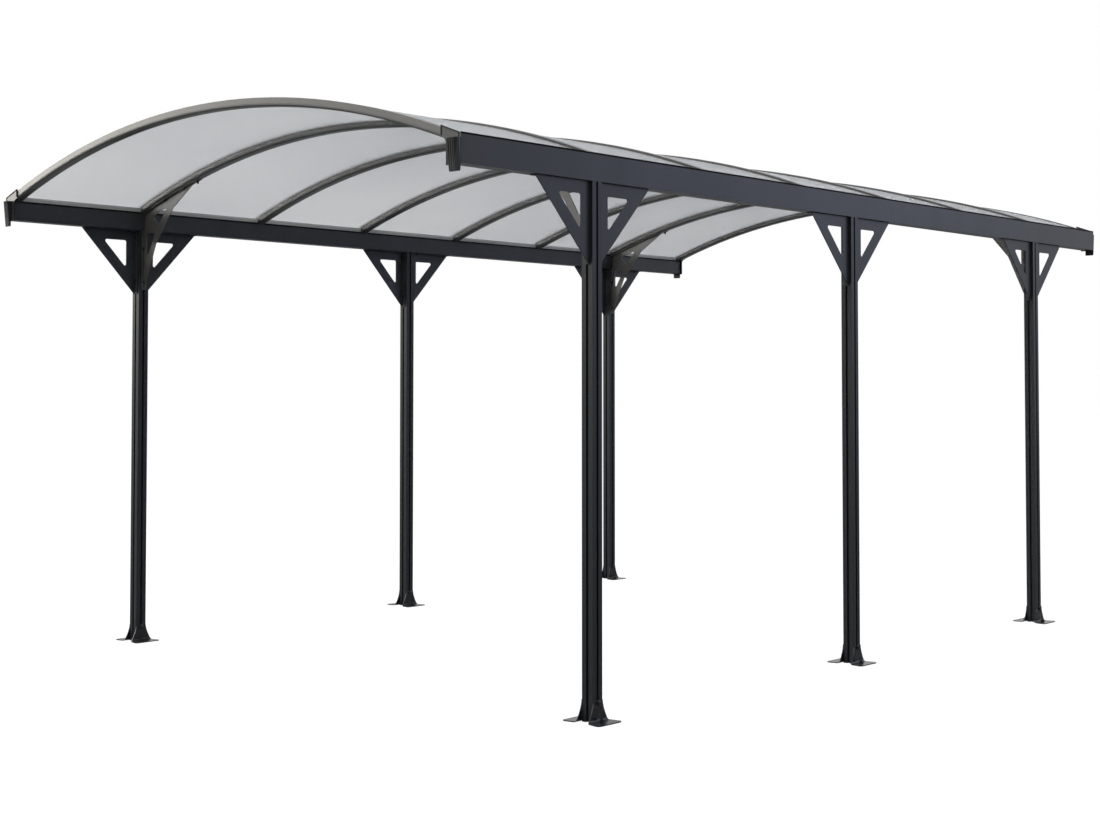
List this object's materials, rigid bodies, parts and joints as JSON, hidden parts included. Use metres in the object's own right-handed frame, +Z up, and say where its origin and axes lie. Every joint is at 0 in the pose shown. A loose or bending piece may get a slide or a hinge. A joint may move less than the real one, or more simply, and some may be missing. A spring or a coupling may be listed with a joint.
{
  "type": "open carport",
  "caption": "Free-standing open carport with grooved posts, box gutters, an arched frame and curved translucent roof panels.",
  "frame": {"origin": "on the ground, in the middle of the carport", "axes": "+X to the right across the width, +Y to the rear along the roof's length, +Z up"},
  "size_m": [3.146, 5.046, 2.394],
  "materials": {
    "frame": "satin",
    "brace": "satin",
    "foot": "satin",
    "panel": "gloss"
  },
  "bodies": {
    "root": {"gutter_left": "frame", "gutter_right": "frame", "gutter_cap_front_left": "frame", "gutter_cap_front_right": "frame", "gutter_cap_rear_left": "frame", "gutter_cap_rear_right": "frame", "arch_1": "frame", "arch_2": "frame", "arch_3": "frame", "arch_4": "frame", "arch_5": "frame", "arch_6": "frame", "arch_7": "frame", "arch_8": "frame", "post_front_left": "frame", "post_front_right": "frame", "post_middle_left": "frame", "post_middle_right": "frame", "post_rear_left": "frame", "post_rear_right": "frame", "roof_panel_1": "panel", "roof_panel_2": "panel", "roof_panel_3": "panel", "roof_panel_4": "panel", "roof_panel_5": "panel", "roof_panel_6": "panel", "roof_panel_7": "panel", "side_braces_front_left": "brace", "side_braces_front_right": "brace", "side_braces_middle_left": "brace", "side_braces_middle_right": "brace", "side_braces_rear_left": "brace", "side_braces_rear_right": "brace", "roof_brace_front_left": "brace", "roof_brace_front_right": "brace", "roof_brace_rear_left": "brace", "roof_brace_rear_right": "brace", "foot_front_left": "foot", "foot_front_right": "foot", "foot_middle_left": "foot", "foot_middle_right": "foot", "foot_rear_left": "foot", "foot_rear_right": "foot"}
  },
  "joints": []
}
